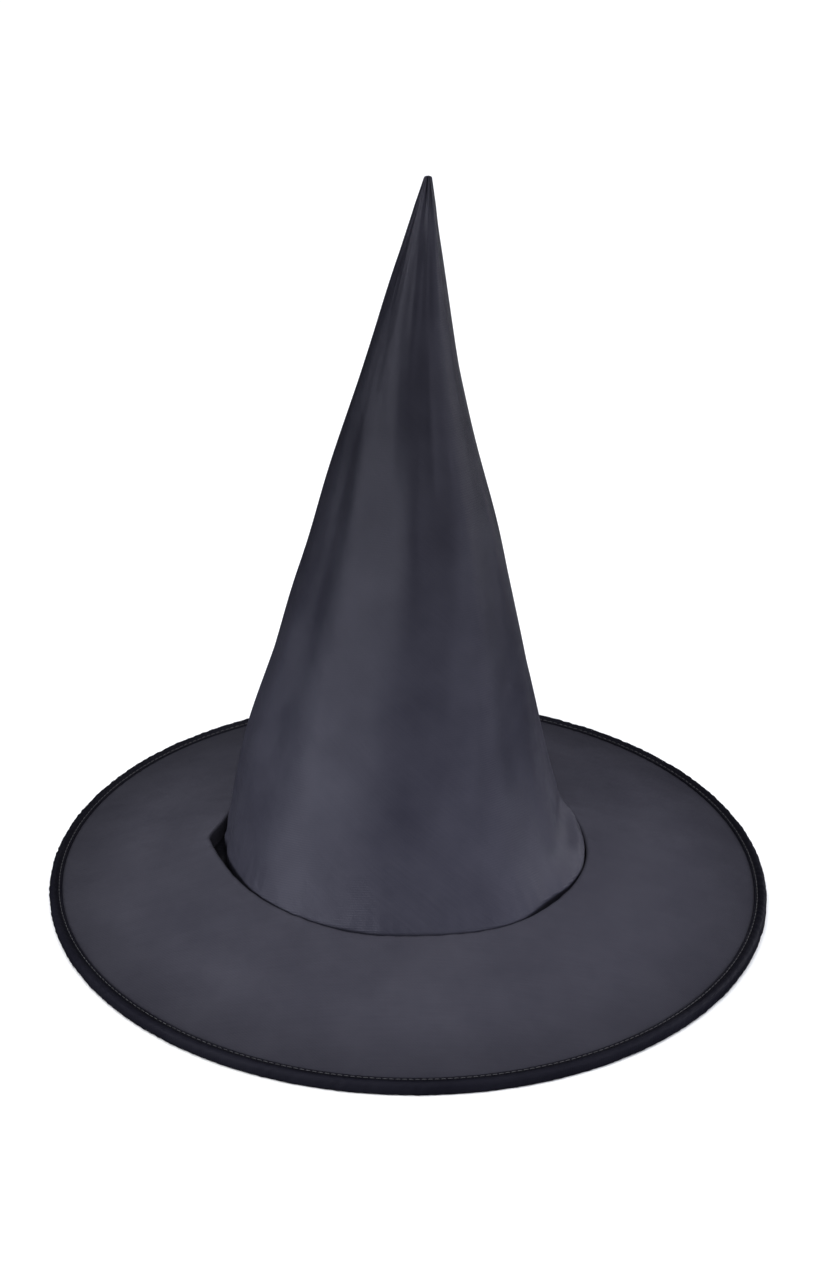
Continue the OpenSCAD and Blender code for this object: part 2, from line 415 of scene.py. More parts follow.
class Nodes:
    """A material's node tree, with short calls to add and link nodes."""

    def __init__(self, name):
        self.material = bpy.data.materials.new(name)
        self.material.use_nodes = True
        self.tree = self.material.node_tree
        self.shader = self.tree.nodes["Principled BSDF"]

    def add(self, kind, inputs=None, **settings):
        """A new node. inputs are values or the outputs of other nodes, by socket name or number."""
        node = self.tree.nodes.new(kind)
        for key, value in settings.items():
            setattr(node, key, value)
        for key, value in (inputs or {}).items():
            self.feed(node.inputs[key], value)
        return node

    def feed(self, socket, value):
        """Links an output to a socket, or sets the socket's value."""
        if isinstance(value, bpy.types.NodeSocket):
            self.tree.links.new(value, socket)
        else:
            socket.default_value = value

    def finish(self, **sockets):
        """Sets or links the shader's sockets. A name's underscores stand for spaces."""
        for key, value in sockets.items():
            self.feed(self.shader.inputs[key.replace("_", " ")], value)
        return self.material

    def flat(self, scale=(1, 1, 1), turned=0):
        """Place on the cut cloth, in metres."""
        place = self.add("ShaderNodeUVMap", uv_map="Flat").outputs["UV"]
        inputs = {"Vector": place, "Scale": scale, "Rotation": (0, 0, math.radians(turned))}
        return self.add("ShaderNodeMapping", inputs).outputs["Vector"]

    def space(self):
        """Place in the hat's own frame, in metres."""
        return self.add("ShaderNodeTexCoord").outputs["Object"]

    def noise(self, vector, scale, detail=3, roughness=0.55):
        """Uneven patches, from 0 to 1."""
        inputs = {"Vector": vector, "Scale": scale, "Detail": detail, "Roughness": roughness}
        return self.add("ShaderNodeTexNoise", inputs).outputs["Fac"]

    def bands(self, vector, pitch, direction):
        """Rounded bands a pitch apart, in metres."""
        inputs = {"Vector": vector, "Scale": 2 * math.pi / 20 / pitch}
        wave = self.add("ShaderNodeTexWave", inputs, wave_type="BANDS", bands_direction=direction)
        return wave.outputs["Fac"]

    def spread(self, noise, low, high):
        """A noise mapped to a range: nearly all of a noise lies from 0.3 to 0.7."""
        return self.ramp(noise, 0.3, 0.7, low, high, "LINEAR")

    def ramp(self, value, start, end, first, last, kind="SMOOTHSTEP"):
        """Goes from first to last as a value goes from start to end."""
        inputs = {"Value": value, "From Min": start, "From Max": end, "To Min": first, "To Max": last}
        return self.add("ShaderNodeMapRange", inputs, interpolation_type=kind).outputs["Result"]

    def blend_colours(self, fac, first, second):
        """A mix of two colours."""
        mix = self.add("ShaderNodeMix", {0: fac}, data_type="RGBA")
        for socket, colour in ((6, first), (7, second)):
            self.feed(mix.inputs[socket], (*colour, 1) if isinstance(colour, tuple) else colour)
        return mix.outputs[2]

    def maths(self, operation, first, second):
        """Two values joined by an operation."""
        return self.add("ShaderNodeMath", {0: first, 1: second}, operation=operation).outputs[0]

    def bump(self, height, depth, below=None):
        """A normal from a height of 0 to 1, depth metres deep, over another normal."""
        inputs = {"Height": height, "Distance": depth}
        if below is not None:
            inputs["Normal"] = below
        return self.add("ShaderNodeBump", inputs).outputs["Normal"]


WEAVE_PITCH = 0.00045


def plain_weave(nodes, pitch, turned=0):
    """Height of a plain weave: warp and weft threads that pass over each other."""
    flat = nodes.flat(turned=turned)
    warp = nodes.bands(flat, pitch, "X")
    weft = nodes.bands(flat, pitch, "Y")
    checks = nodes.bands(flat, pitch * 2, "DIAGONAL")
    return nodes.blend_colours(checks, warp, weft)


# The shades below are painted light and shade, as shares of the cloth's own colour, and their places are
# in metres

def painted_rim_shade(nodes):
    """Painted shade: full colour over most of the brim, and darker towards the rim."""
    in_plan = {0: nodes.space(), 1: (1, 1, 0)}
    level = nodes.add("ShaderNodeVectorMath", in_plan, operation="MULTIPLY").outputs[0]
    radius = nodes.add("ShaderNodeVectorMath", {0: level}, operation="LENGTH").outputs["Value"]
    # Painted shade: the brim's colour darkens towards the rim
    return nodes.ramp(radius, 0.14, 0.186, 1.0, 0.72)


def painted_height_shade(nodes):
    """Painted light and shade: lighter at the crown's foot and darker towards the tip, with a much darker
    painted shadow on the part that is tucked into the seam."""
    height = nodes.add("ShaderNodeSeparateXYZ", {0: nodes.space()}).outputs["Z"]
    # Painted light: lighter at the foot, darker towards the tip
    wear_and_painted_light = nodes.ramp(height, 0.04, 0.3, 1.5, 0.6)
    # Painted shadow in the pocket where the foot tucks into the seam
    painted_pocket_shadow = nodes.ramp(height, 0.0265, 0.03, 0.15, 1.0)
    return nodes.maths("MULTIPLY", wear_and_painted_light, painted_pocket_shadow)


def cloth_material(name, dark, light, roughness, specular, shade=None, turned=0):
    """Close-woven polyester with faint slubs, soft creases, an uneven dye and a bluish gloss. shade
    paints light and shade into its colour from place to place. turned is the weave's angle on the cut
    cloth."""
    nodes = Nodes(name)
    flat = nodes.flat(turned=turned)
    patches = nodes.noise(nodes.space(), 26, detail=5)
    slub_place = nodes.flat(scale=(40, 1400, 1), turned=turned)
    slubs = nodes.noise(slub_place, 1, detail=2)
    patch_part = nodes.maths("MULTIPLY", patches, 0.75)
    slub_part = nodes.maths("MULTIPLY", slubs, 0.25)
    uneven = nodes.maths("ADD", patch_part, slub_part)
    dye_and_painted_shade = nodes.blend_colours(nodes.spread(uneven, 0, 1), dark, light)
    # Painted light and shade from shade, multiplied into the dye's colour
    if shade:
        shaded = nodes.add("ShaderNodeHueSaturation", {"Color": dye_and_painted_shade, "Value": shade(nodes)})
        dye_and_painted_shade = shaded.outputs["Color"]
    wear_and_painted_light = nodes.spread(nodes.noise(flat, 90, detail=4), roughness - 0.05, roughness + 0.05)
    creases = nodes.bump(nodes.noise(nodes.space(), 45, detail=3, roughness=0.45), 0.0006)
    slubbed = nodes.bump(slubs, 0.00006, creases)
    weave = nodes.bump(plain_weave(nodes, WEAVE_PITCH, turned), 0.00007, slubbed)
    return nodes.finish(
        Base_Color=dye_and_painted_shade,
        Roughness=wear_and_painted_light,
        Specular_IOR_Level=specular,
        Specular_Tint=(0.82, 0.82, 1.0, 1),
        Normal=weave,
    )


def stiffener_material():
    """Dark nonwoven felt, matted from short fibres."""
    nodes = Nodes("stiffener")
    flat = nodes.flat()
    fibres = nodes.noise(flat, 1800, detail=4, roughness=0.7)
    clouds = nodes.noise(flat, 120, detail=3)
    cloudy = nodes.spread(clouds, 0, 1)
    colour = nodes.blend_colours(cloudy, (0.026, 0.026, 0.03), (0.042, 0.042, 0.047))
    matted = nodes.bump(fibres, 0.00015, nodes.bump(clouds, 0.0003))
    rough = nodes.spread(fibres, 0.86, 0.96)
    return nodes.finish(Base_Color=colour, Roughness=rough, Specular_IOR_Level=0.2, Normal=matted)


def ribbon_material():
    """Grosgrain ribbon: fine ribs across its length."""
    nodes = Nodes("ribbon")
    flat = nodes.flat()
    ribs = nodes.bands(flat, 0.0011, "X")
    threads = nodes.noise(nodes.flat(scale=(500, 4000, 1)), 1, detail=2)
    colour = nodes.blend_colours(ribs, (0.006, 0.006, 0.008), (0.016, 0.016, 0.02))
    ribbed = nodes.bump(ribs, 0.00022, nodes.bump(threads, 0.00005))
    rough = nodes.spread(threads, 0.5, 0.65)
    return nodes.finish(Base_Color=colour, Roughness=rough, Specular_IOR_Level=0.4, Normal=ribbed)


def thread_material():
    """Twisted sewing thread."""
    nodes = Nodes("sewing_thread")
    place = nodes.space()
    twist = nodes.bands(place, 0.0005, "DIAGONAL")
    fuzz = nodes.noise(place, 2500, detail=2)
    colour = nodes.blend_colours(twist, (0.014, 0.014, 0.018), (0.04, 0.04, 0.048))
    rough = nodes.spread(fuzz, 0.5, 0.7)
    twisted = nodes.bump(twist, 0.00008)
    return nodes.finish(Base_Color=colour, Roughness=rough, Sheen_Weight=0.1, Normal=twisted)


def label_material():
    """Blank white woven tape."""
    nodes = Nodes("label_tape")
    flat = nodes.flat()
    ribs = nodes.bands(flat, 0.0004, "Y")
    grime = nodes.noise(flat, 60, detail=4)
    colour = nodes.blend_colours(nodes.spread(grime, 0, 1), (0.72, 0.71, 0.67), (0.83, 0.82, 0.79))
    rough = nodes.spread(grime, 0.4, 0.55)
    ribbed = nodes.bump(ribs, 0.00006)
    return nodes.finish(Base_Color=colour, Roughness=rough, Sheen_Weight=0.15, Normal=ribbed)


def metal_material(name, colour, pitch, roughness):
    """Drawn or crimped metal, with lines along its making and dull patches."""
    nodes = Nodes(name)
    place = nodes.space()
    lines = nodes.noise(place, 1 / pitch, detail=3)
    dull = nodes.noise(place, 90, detail=4)
    darker = tuple(part * 0.78 for part in colour)
    shade = nodes.blend_colours(nodes.spread(dull, 0, 1), colour, darker)
    rough = nodes.spread(lines, roughness - 0.08, roughness + 0.12)
    lined = nodes.bump(lines, 0.00003)
    return nodes.finish(Base_Color=shade, Roughness=rough, Metallic=1.0, Normal=lined)


def floor_material():
    """Matt pale paper."""
    nodes = Nodes("floor")
    grain = nodes.noise(nodes.space(), 300, detail=3)
    colour = nodes.blend_colours(grain, (0.86, 0.87, 0.88), (0.9, 0.905, 0.91))
    return nodes.finish(Base_Color=colour, Roughness=0.9, Specular_IOR_Level=0.1)


# --- Shape of the brim ---

# The brim's slope, how much more it slopes at its sides, and the height of its slow waves
BRIM_SLOPE = 0.32
BRIM_SADDLE = 0.022
BRIM_SWELL = 0.55
# Outline of the hole in the brim, as (angle, radius) about the crown's centre. It has a corner at the
# left, where the hat was folded flat, and is pulled out at the right of its front.
HOLE = [
    (-177.5, 99.2), (-173, 98.2), (-163, 95.9), (-152, 94.9), (-137, 94.4), (-121, 94.2), (-101, 95.2),
    (-84, 95.5), (-74, 97), (-65, 99.2), (-52, 101.7), (-40, 102.3), (-25, 102.2), (-12, 100.4),
    (0, 96.4), (10, 92.6), (25, 91.4), (50, 93.8), (90, 96), (130, 94.6), (153, 91.4), (166, 90.3),
    (172.5, 92), (178, 95.4),
]
# About the hole's radius, by which the brim's rows are spaced
HOLE_R = 96
# Radii of the folds over which the top cloth and the under cloth turn down into the head opening
FOLD_R = 1.2
LINING_FOLD_R = 1
# How far below the seam the two cloths end
TURNED_DOWN = 10.6
LINING_DOWN = 11.2


def hole_point(angle, out=0):
    """A point on the hole's edge, or a distance outside it, in plan."""
    radius = smooth_ring(HOLE, angle) + out
    return CROWN_X + radius * np.cos(np.radians(angle)), radius * np.sin(np.radians(angle))


def brim_plane(x, y):
    """Height of the brim's top without its small waves."""
    angle = np.arctan2(y, x)
    slope = BRIM_SLOPE + BRIM_SADDLE * np.cos(2 * angle)
    return PLY_END_H + slope * (PLY_END_R - np.hypot(x, y))


def seam_height(angle):
    """Height at which the crown meets the brim."""
    return brim_plane(*hole_point(angle))


def brim_top(x, y, angle, out):
    """Height of the brim's top, a distance out from the hole's edge."""
    inside = PLY_END_R - np.hypot(x, y)
    across = np.clip(inside / (inside + out + 1e-6), 0, 1)
    swell = BRIM_SWELL * np.sin(np.pi * across) * drift(angle, out, (2, 3, 4, 6), (90, 260), 21)
    at_rim = 0.22 * np.exp(-inside / 4.5) * ripple(angle, (131, 157, 173, 199, 226), 22)
    at_seam = 0.3 * np.exp(-out / 7) * ripple(angle, (37, 53, 61, 74), 23)
    lip = 1.1 * np.exp(-out / 4) * round_bell(angle, 176, 17)
    waves = swell + at_rim * rise(inside, -1, 1) + (at_seam + lip) * rise(out, -0.5, 2)
    return brim_plane(x, y) + waves


def brim_face(columns, outs, drop):
    """A face of a brim ply, a drop below the brim's top: rows run in from the rim to a distance outside
    the hole's edge. outs go from 1 at the rim to 0 at the hole."""
    hole_x, hole_y = hole_point(columns)
    rim = polar(PLY_END_R, columns, 0)
    share = outs[:, None]
    x = hole_x + (rim[:, 0] - hole_x) * share
    y = hole_y + (rim[:, 1] - hole_y) * share
    out = np.hypot(x - hole_x, y - hole_y)
    return np.stack([x, y, brim_top(x, y, columns, out) - drop], axis=-1)


def folded_edge(face, columns, centre_out, centre_drop, radius, reach):
    """A ply's face with rows that carry it round a fold and straight down into the head opening, to a
    reach below the seam. The fold's centre lies out from the hole's edge and below the brim's top."""
    x, y = hole_point(columns, centre_out)
    top = brim_top(x, y, columns, centre_out) - centre_drop
    rows = []
    for turned in np.radians([18, 36, 54, 72, 90]):
        fold_x, fold_y = hole_point(columns, centre_out - radius * math.sin(turned))
        rows.append(np.stack([fold_x, fold_y, top + radius * math.cos(turned)], axis=-1))
    last = rows[-1]
    for down in (0.35, 0.7, 1):
        straight = last.copy()
        straight[:, 2] += (seam_height(columns) - reach - last[:, 2]) * down
        rows.append(straight)
    return np.concatenate([face, np.stack(rows)])


def brim_rows(first, last, end):
    """Rows of a ply as shares of the way from the hole to the rim, from 1 to where it ends outside the
    hole. They are finest at both ends."""
    inner = end / (PLY_END_R - HOLE_R)
    middle = (1 + inner) / 2
    outer_half = graded(1, middle, first, last)
    inner_half = graded(inner, middle, first, last)[::-1]
    return np.concatenate([outer_half, inner_half[1:]])


def brim_ply(name, count, rows, depth, thick, fold=None):
    """A ply of the brim with a number of columns, a depth below the brim's top. fold says how far out
    and down its fold's centre lies, its outer radius, and how far below the seam the ply reaches."""
    columns = columns_round(count)
    faces = []
    for inside in (0, thick):
        face = brim_face(columns, rows, depth + inside)
        if fold:
            out, drop, radius, reach = fold
            face = folded_edge(face, columns, out, drop, radius - inside, reach)
        faces.append(face)
    return shell(name, *faces, closed(faces[0])[..., :2])


def make_brim():
    """The brim's top cloth, its stiffener, which ends just outside the hole, and its under cloth, which
    turns down behind the top cloth."""
    top_fold = (FOLD_R, FOLD_R, FOLD_R, TURNED_DOWN)
    fold_out = CLOTH_T * 2 + PLY_GAP + LINING_FOLD_R
    fold_drop = THIRD_PLY_IN + CLOTH_T + LINING_FOLD_R
    under_fold = (fold_out, fold_drop, LINING_FOLD_R + CLOTH_T, LINING_DOWN)
    return (
        brim_ply("brim_top", 640, brim_rows(0.012, 0.04, FOLD_R), 0, CLOTH_T, top_fold),
        brim_ply("brim_core", 240, brim_rows(0.04, 0.1, 2), STIFFENER_IN, STIFFENER_T),
        brim_ply("brim_under", 480, brim_rows(0.02, 0.07, 2.2), THIRD_PLY_IN, CLOTH_T, under_fold),
    )


# --- Shape of the crown ---

CONE_SLOPE = 0.2385
# Height at which the cone would come to a point: its tip is blunt
APEX_H = TIP_H + 5
# Distance over which the foot flares out to the seam: sharp at the sides, long at the front and back
FLARE = [
    (-180, 6), (-164, 11), (-145, 26), (-90, 70), (-52, 36), (-25, 14), (0, 7), (30, 13), (90, 60),
    (150, 26), (172, 8),
]
# Gap between the hole's edge and the crown's wall: a dark pocket opens at the left corner
GAPS = [
    (-176, 7.4), (-166, 5.4), (-156, 3), (-146, 1.2), (-130, 0.5), (-95, 1.4), (-65, 0.6), (-53, 0.3),
    (-44, 1.6), (-36, 2.4), (-28, 1.2), (-20, 0.25), (-12, 0.9), (-5, 0.7), (3, 0.3), (90, 0.5),
    (150, 0.6), (164, 2), (172, 4),
]
# Length of the crown's foot, and of its stiffener, that goes down into the seam below the brim's top
TUCK = 11.4
STIFFENER_TUCK = 3.4
# Depths below the seam over which the foot turns out, and how far past the hole's edge it goes
TURN_OUT = (7.8, 10.4)
PAST_EDGE = 0.1
# The rounded tip: how far below the top the cone ends, how far below it the last rows lie, and the
# share of the cone's radius that each of them keeps
TIP_CONE_END = 1.2
TIP_DROPS = np.array([0.7, 0.3, 0.1, 0])
TIP_SHARES = np.array([0.92, 0.7, 0.4, 0.04])


def crown_centre(height):
    """X of the crown's centre line: it leans to the right above its lower bend, and sways a little."""
    line = [(0, CROWN_X), (crown_bend[2], crown_bend[0]), (tip_bend[2], tip_bend[0]), (TIP_H, 4.4)]
    sway = 1.3 * bell(height, 210, 38) - 2.2 * bell(height, 92, 40)
    return smooth_curve(line, height) + sway * rise(height, 35, 60)


def cone_radius(height):
    """Radius of the crown without its folds."""
    waist = 0.6 * bell(height, 120, 60) - 1.3 * bell(height, 300, 55)
    return CONE_SLOPE * (APEX_H - height) + waist


def seam_gap(angle):
    """How far inside the hole's edge the crown's wall goes down into the seam."""
    return smooth_ring(GAPS, angle) * (1 + 0.25 * ripple(angle, (7, 11, 16), 31))


def side_creases(angle, over):
    """Ridges where the hat was folded flat, at its left and right."""
    left = 1.5 * round_bell(angle, 178, 5) * (1 - rise(over, 40, 150))
    right = 1.0 * round_bell(angle, 6, 4) * (1 - rise(over, 30, 150))
    return left + right


def side_roll(angle, over):
    """The foot's loose roll over the seam at the right, with a notch above it and a tuck down it."""
    where = round_bell(angle, -7, 16)
    tuck = -0.9 * round_bell(angle, -9, 3.5) * bell(over, 6, 6)
    return where * (2.7 * bell(over, 4.5, 4) - 1.7 * bell(over, 14.5, 5)) + tuck


# Soft lengthwise folds: angle, width in degrees, lowest and highest heights, depth
SOFT_FOLDS = [
    (-152, 11, 45, 300, -2.0), (-126, 13, 45, 230, 1.2), (-118, 10, 170, 300, -0.7),
    (-89, 15, 110, 300, 0.8), (-74, 10, 110, 330, -0.8), (-69, 4, 230, 350, 0.4),
    (-52, 9, 80, 330, 1.1), (-33, 10, 60, 260, -1.1), (30, 15, 60, 300, 0.8),
    (62, 11, 60, 280, -0.8), (118, 12, 80, 340, 0.8), (148, 12, 60, 260, -0.7),
]
# Creases gathered into the tip: angle, width in degrees, depth as a share of the radius
TIP_CREASES = [
    (-158, 15, -0.07), (-120, 16, 0.04), (-86, 12, -0.05), (-75, 6, 0.03), (-40, 16, 0.05),
    (-8, 18, -0.06), (40, 18, 0.08), (95, 16, -0.06), (150, 18, 0.08),
]


def wall_folds(angle, height, over):
    """Soft folds and small waves of the wall, and its oval middle."""
    total = drift(angle, height, (5, 7, 8, 11), (70, 220), 41) * 0.5 * rise(over, 0, 30)
    total = total + drift(angle, height, (13, 17, 22, 29), (50, 170), 46) * 0.08 * rise(over, 0, 30)
    oval = 0.066 * cone_radius(height) * np.cos(np.radians(2 * (angle + 45)))
    total = total + oval * rise(height, 95, 185) * (1 - rise(height, 240, 330))
    for centre, width, low, high, depth in SOFT_FOLDS:
        shown = rise(height, low, low + 50) * (1 - rise(height, high - 60, high))
        total = total + depth * round_bell(angle, centre, width) * shown
    for centre, width, depth in TIP_CREASES:
        gather = depth * rise(height, TIP_H - 125, TIP_H - 35)
        total = total + gather * cone_radius(height) * round_bell(angle, centre, width)
    return total


def foot_puckers(angle, over):
    """Small puckers that the seam pulls into the foot."""
    fine = 0.28 * ripple(angle, (41, 57, 68, 83), 43) * np.exp(-np.abs(over) / 6)
    long = 0.3 * ripple(angle, (17, 23, 29), 44) * np.exp(-np.abs(over) / 22)
    return (fine + long) * rise(over, -1, 3)


def back_seam(angle, height, radius):
    """Groove of the back seam, the pressed edges that show beside it, and its puckers."""
    aside = np.radians(turn(angle, BACK)) * radius
    groove = -0.5 * bell(aside, 0, 0.7)
    pressed = 0.22 * (1 - rise(np.abs(aside), 4.5, 7.5))
    pull = 0.16 * np.sin(height / 1.7 + 1.5 * np.sin(height / 11)) * bell(aside, 0, 4)
    return (groove + pressed + pull) * (1 - rise(height, TIP_H - 25, TIP_H - 8))


def crown_radius(angle, height, over):
    """Outer radius of the crown about its centre line. over is the height above the seam."""
    gap = seam_gap(angle)
    foot = smooth_ring(HOLE, angle) - gap
    turned_out = (gap + PAST_EDGE) * rise(-over, *TURN_OUT)
    cone = cone_radius(height)
    spread = foot - cone_radius(seam_height(angle))
    flare = spread * np.exp(-np.maximum(over, 0) / smooth_ring(FLARE, angle))
    wall = cone + flare + wall_folds(angle, height, over) + foot_puckers(angle, over)
    wall = wall + side_creases(angle, over) * rise(over, 0, 8)
    wall = wall + side_roll(angle, over) * rise(over, -1, 2)
    wall = wall + back_seam(angle, height, cone) * rise(over, 0, 4)
    return np.where(over < 0, foot + turned_out, wall)


# The least radius of a face, so that an inner one doesn't cross the crown's centre line at the tip
LEAST_R = 0.05


def crown_face(columns, overs, top, inset):
    """A face of a crown ply, an inset inside the outer one. overs go from below 0, in millimetres
    under the seam, through 0 at the seam, to 1 at the height called top."""
    seam = seam_height(columns)
    share = overs[:, None]
    over = np.where(share < 0, share, share * (top - seam))
    height = seam + over
    radius = crown_radius(columns, height, over) - inset
    return polar(np.maximum(radius, LEAST_R), columns, height, crown_centre(height))


def tip_face(columns, heights, inset):
    """A face of a ply of the crown's upper piece."""
    height = np.broadcast_to(heights[:, None], (len(heights), len(columns)))
    radius = crown_radius(columns, height, height - seam_height(columns)) - inset
    return polar(np.maximum(radius, LEAST_R), columns, height, crown_centre(height))


def cone_sheet(name, columns, faces):
    """A ply of the crown between two faces, cut as a sector whose straight edges meet at the back."""
    around = np.append(columns, columns[0] + 360) - BACK
    slant = math.hypot(1, CONE_SLOPE)
    length = (APEX_H - closed(faces[0][..., 2])) * slant
    spread = np.radians(around) * CONE_SLOPE / slant
    flat = np.stack([length * np.sin(spread), length * np.cos(spread)], axis=-1)
    return shell(name, *faces, flat)


# Angles beside the back seam at which its groove needs columns of its own
SEAM_COLUMNS = (0.2, 0.4, 0.6, 1.1)


def make_crown():
    """The crown's outer cloth, from its foot to where the two pieces meet."""
    columns = columns_round(480, SEAM_COLUMNS)
    below_seam = [-TUCK, -10.6, -10, -9.4, -8.8, -8.2, -7.6, -6, -4, -2, -0.8]
    rows = np.concatenate([below_seam, graded(0, 1, 0.0045, 0.024)])
    faces = [crown_face(columns, rows, SPLIT_H, inset) for inset in (0, CLOTH_T)]
    return cone_sheet("crown_cloth", columns, faces)


def round_off(face, heights):
    """Draws the last rows of the tip's outer face in to a blunt, round end."""
    last = slice(-len(TIP_SHARES), None)
    centre = crown_centre(heights[last])[:, None]
    face[last, :, 0] = centre + (face[last, :, 0] - centre) * TIP_SHARES[:, None]
    face[last, :, 1] *= TIP_SHARES[:, None]


def make_tip():
    """The crown's outer cloth, from where the two pieces meet to its blunt tip."""
    columns = columns_round(240, SEAM_COLUMNS)
    heights = np.concatenate([graded(SPLIT_H, TIP_H - TIP_CONE_END, 4, 1.6), TIP_H - TIP_DROPS])
    front = tip_face(columns, heights, 0)
    round_off(front, heights)
    behind = tip_face(columns, heights, CLOTH_T)
    behind[..., 2] = np.minimum(behind[..., 2], TIP_H - CLOTH_T)
    return cone_sheet("tip_cloth", columns, [front, behind])


def make_crown_stiffener():
    """The stiffener inside the cloth, in the same two pieces."""
    insets = (STIFFENER_IN, STIFFENER_IN + STIFFENER_T)
    columns = columns_round(240)
    rows = np.concatenate([[-STIFFENER_TUCK, -1.5], graded(0, 1, 0.012, 0.04)])
    heights = graded(SPLIT_H, STIFFENER_END_H, 6, 4)
    lower = [crown_face(columns, rows, SPLIT_H, inset) for inset in insets]
    upper = [tip_face(columns, heights, inset) for inset in insets]
    return cone_sheet("crown_stiffening", columns, lower), cone_sheet("tip_stiffening", columns, upper)


def inner_faces(angle, height, insets, lift):
    """Faces of a strip inside the crown, each an inset inside the cloth's outer face. lift is how far
    they stand off the wall besides."""
    wall = crown_radius(angle, height, height - seam_height(angle))
    centre = crown_centre(height)
    return [polar(wall - inset - lift, angle, height, centre)[:, ::-1] for inset in insets]


def seam_edge(name, heights, side):
    """One turned-in edge of the back seam, pressed to a side, 1 or -1. It lifts off the stiffener here
    and there, and its free edge waves a little."""
    across = side * np.linspace(0.25, SEAM_W / 2, 7)[::side]
    free_edge = np.where(np.abs(across) > SEAM_W / 2 - 1, 1.0, 0.0)
    up = heights[:, None]
    aside = across + side * free_edge * 0.25 * np.sin(up / 2.3)
    angle = BACK - np.degrees(aside / cone_radius(up))
    lift = 0.25 * np.abs(across) / SEAM_W * (1 + np.sin(up / 13 + side))
    height = np.broadcast_to(up, angle.shape)
    faces = inner_faces(angle, height, (THIRD_PLY_IN, THIRD_PLY_IN + SEAM_T), lift)
    return strip(name, faces, ring=False)


def seam_edges(name, low, high):
    """Both turned-in edges of the back seam, between two heights, joined in one mesh."""
    heights = graded(low, high, 3, 3)
    left = seam_edge(name, heights, -1)
    right = seam_edge(name + "_right", heights, 1)
    with bpy.context.temp_override(active_object=left, selected_editable_objects=[left, right]):
        bpy.ops.object.join()
    return left


# Where the back seam's edges start, just above the sweatband
SEAM_START_H = seam_height(np.array([BACK]))[0] + 2.5


# --- Rim ---

# Angle at which the binding's end laps over its start, beside the back
LAP = 96


def binding_outline():
    """Outline of the rolled binding's outer face, as (radius, height) from the lip on the brim's top,
    over the roll, round under the hoop and back to the lip below the brim."""
    middle = BINDING_R
    top = PLY_END_H
    return [
        (middle - 4.3, top + 1.05), (middle - 3.9, top + 1.5), (middle - 3.2, top + 1.35),
        (middle - 2.5, top + 0.95), (middle - 2.0, top + 1.15), (middle - 1.2, RIM_H - 0.45),
        (middle, RIM_H), (middle + 1.3, RIM_H - 0.45), (middle + 2.2, RIM_H - 1.7),
        (middle + 2.5, RIM_H - 3.3), (middle + 2.5, 3.0), (middle + 2.0, 1.1),
        (middle + 0.9, 0.12), (middle, 0), (middle - 0.9, 0.12),
        (middle - 2.1, 1.2), (middle - 2.6, 2.2), (middle - 2.9, 2.75),
    ]


def fine_line(points, count):
    """A smooth line through points, as a number of points evenly spaced along it."""
    points = np.array(points, float)
    lengths = run_along(points)
    places = np.linspace(0, lengths[-1], count)
    parts = [smooth_curve(np.stack([lengths, points[:, k]], axis=1), places) for k in (0, 1)]
    return np.stack(parts, axis=1)


def binding_puff(columns, place):
    """How far the binding stands out of its outline, at places from 0 at its upper lip to 1 at its
    lower: puckers and pulls that slant across it, slow waves, and the lap of its turned-over end."""
    free = rise(place, 0, 0.12) * (1 - rise(place, 0.62, 0.8))
    puckers = 0.18 * ripple(columns + 40 * place / 9, (149, 178, 211, 243, 268), 51)
    pulls = 0.12 * ripple(columns - 30 * place / 9, (37, 52, 71), 52)
    wander = 0.12 * ripple(columns, (7, 11, 17), 53) * (1 - rise(place, 0.5, 0.62))
    past_lap = turn(columns, LAP) - 1.5 * (place - 0.5)
    lap = 0.45 * rise(past_lap, 0, 0.35) * (1 - rise(turn(columns, LAP + 5), 0, 6))
    return (puckers + pulls + wander + lap) * free


def lip_lift(columns, place, lip_r):
    """How far the binding's upper lip rises and falls with the brim that it lies on."""
    x, y = polar(lip_r, columns, 0)[:, :2].T
    even_height = PLY_END_H + BRIM_SLOPE * (PLY_END_R - lip_r)
    wave = 0.12 * ripple(columns, (160, 190, 230), 54)
    return (1 - rise(place, 0.05, 0.2)) * (brim_plane(x, y) - even_height + wave)


def make_binding():
    """The bias binding that is rolled over the brim's edge and its hoop."""
    columns = columns_round(720)
    line = fine_line(binding_outline(), 30)
    place = np.linspace(0, 1, len(line))[:, None]
    puff = binding_puff(columns, place)
    lift = lip_lift(columns, place, line[0, 0])
    along = unit(np.gradient(line, axis=0))
    away = np.stack([-along[:, 1], along[:, 0]], axis=1)
    faces = []
    for face in (line, line - BINDING_T * away):
        radius = face[:, :1] + away[:, :1] * puff
        height = face[:, 1:] + away[:, 1:] * puff + lift
        faces.append(polar(radius, columns[None], height)[::-1])
    return strip("rim_roll", faces)


# --- Head opening ---

# The crown's and the brim's edges, turned down behind the sweatband: heights from the seam
EDGES_T = 1.2
EDGES_LOW = -10.4
EDGES_HIGH = -0.4
# How far the sweatband stands above the seam, and its distance inside the foot's outer face
BAND_TOP = 1
BAND_IN = 3.6
# How far inside the crown's outer face the label's columns are spaced
LABEL_IN = 3


def band_radius(angle):
    """Outer radius of the sweatband: it follows the foot, but hardly wider than a head."""
    foot = smooth_ring(HOLE, angle) - seam_gap(angle) - BAND_IN
    widest = BAND_R + 2
    softness = 1.2
    return -softness * np.log(np.exp(-foot / softness) + np.exp(-widest / softness))


